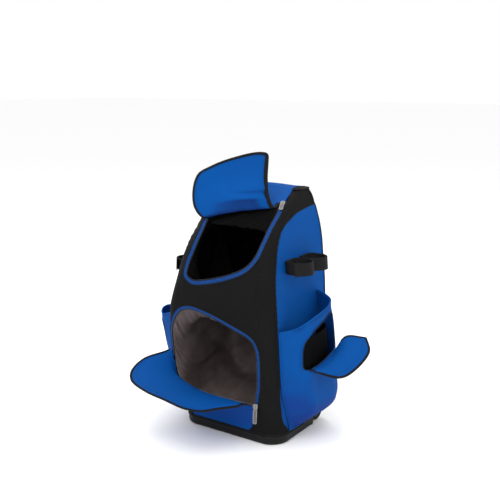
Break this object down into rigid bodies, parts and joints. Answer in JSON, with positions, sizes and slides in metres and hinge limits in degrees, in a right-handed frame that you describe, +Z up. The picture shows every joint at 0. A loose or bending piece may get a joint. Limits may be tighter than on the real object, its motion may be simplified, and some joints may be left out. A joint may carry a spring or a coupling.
{
  "type": "wheeled kit bag",
  "caption": "Upright wheeled cloth kit bag with an open lidded main compartment, an open shoe door, side pouches with bat loops and a pull handle.",
  "frame": {"origin": "on the floor under the middle of the base's flat underside", "axes": "+Z up, front with the openings towards -Y, +X to the right of the front view"},
  "size_m": [0.5792, 0.4513, 0.7563],
  "materials": {
    "moulded": "moulded, satin black",
    "tyre": "matt black",
    "hub": "moulded dark grey",
    "axle": "plain",
    "black_cloth": "woven black polyester",
    "black_binding": "folded black tape",
    "black_strap": "black hook-and-loop strap",
    "blue_cloth": "woven royal blue polyester",
    "zip_tape": "blue woven tape with coil teeth",
    "satin": "dark brown-grey satin",
    "pull": "grey moulded tab",
    "tube": "satin",
    "grip": "matt black"
  },
  "bodies": {
    "bag": {"base_tub": "moulded", "handle_channel": "moulded", "axle_right": "axle", "axle_left": "axle", "front_panel": "black_cloth", "corner_band": "black_cloth", "back_panel": "black_cloth", "shoulder_right": "black_cloth", "shoulder_left": "black_cloth", "compartment_floor": "black_cloth", "pocket_back_right": "black_cloth", "pocket_back_left": "black_cloth", "lid_binding": "black_binding", "shoe_flap_binding": "black_binding", "pocket_binding_right": "black_binding", "bat_loop_right_front": "black_strap", "bat_loop_left_front": "black_strap", "bat_loop_right_rear": "black_strap", "bat_loop_left_rear": "black_strap", "side_panel_right": "blue_cloth", "side_panel_left": "blue_cloth", "top_panel": "blue_cloth", "lid": "blue_cloth", "shoe_foot_panel": "blue_cloth", "shoe_flap": "blue_cloth", "pouch_right": "blue_cloth", "pouch_left": "blue_cloth", "pocket_flap_right": "blue_cloth", "pocket_flap_left": "blue_cloth", "main_zip_tape": "zip_tape", "shoe_zip_tape": "zip_tape", "shoe_lining": "satin", "main_zip_pull": "pull", "shoe_zip_pull": "pull"},
    "wheel_right": {"wheel_right_tyre": "tyre", "wheel_right_hub": "hub"},
    "wheel_left": {"wheel_left_tyre": "tyre", "wheel_left_hub": "hub"},
    "handle": {"handle_grip": "grip", "handle_tube_right": "tube", "handle_tube_left": "tube"}
  },
  "joints": [
    {"name": "wheel_right_spin", "type": "hinge", "parent": "bag", "child": "wheel_right", "pos_m": [0.137, 0.101, 0.031], "axis": [1, 0, 0], "continuous": true},
    {"name": "wheel_left_spin", "type": "hinge", "parent": "bag", "child": "wheel_left", "pos_m": [-0.137, 0.101, 0.031], "axis": [1, 0, 0], "continuous": true},
    {"name": "handle_slide", "type": "slide", "parent": "bag", "child": "handle", "axis": [0, 0, 1], "range_m": [0, 0.38]}
  ]
}
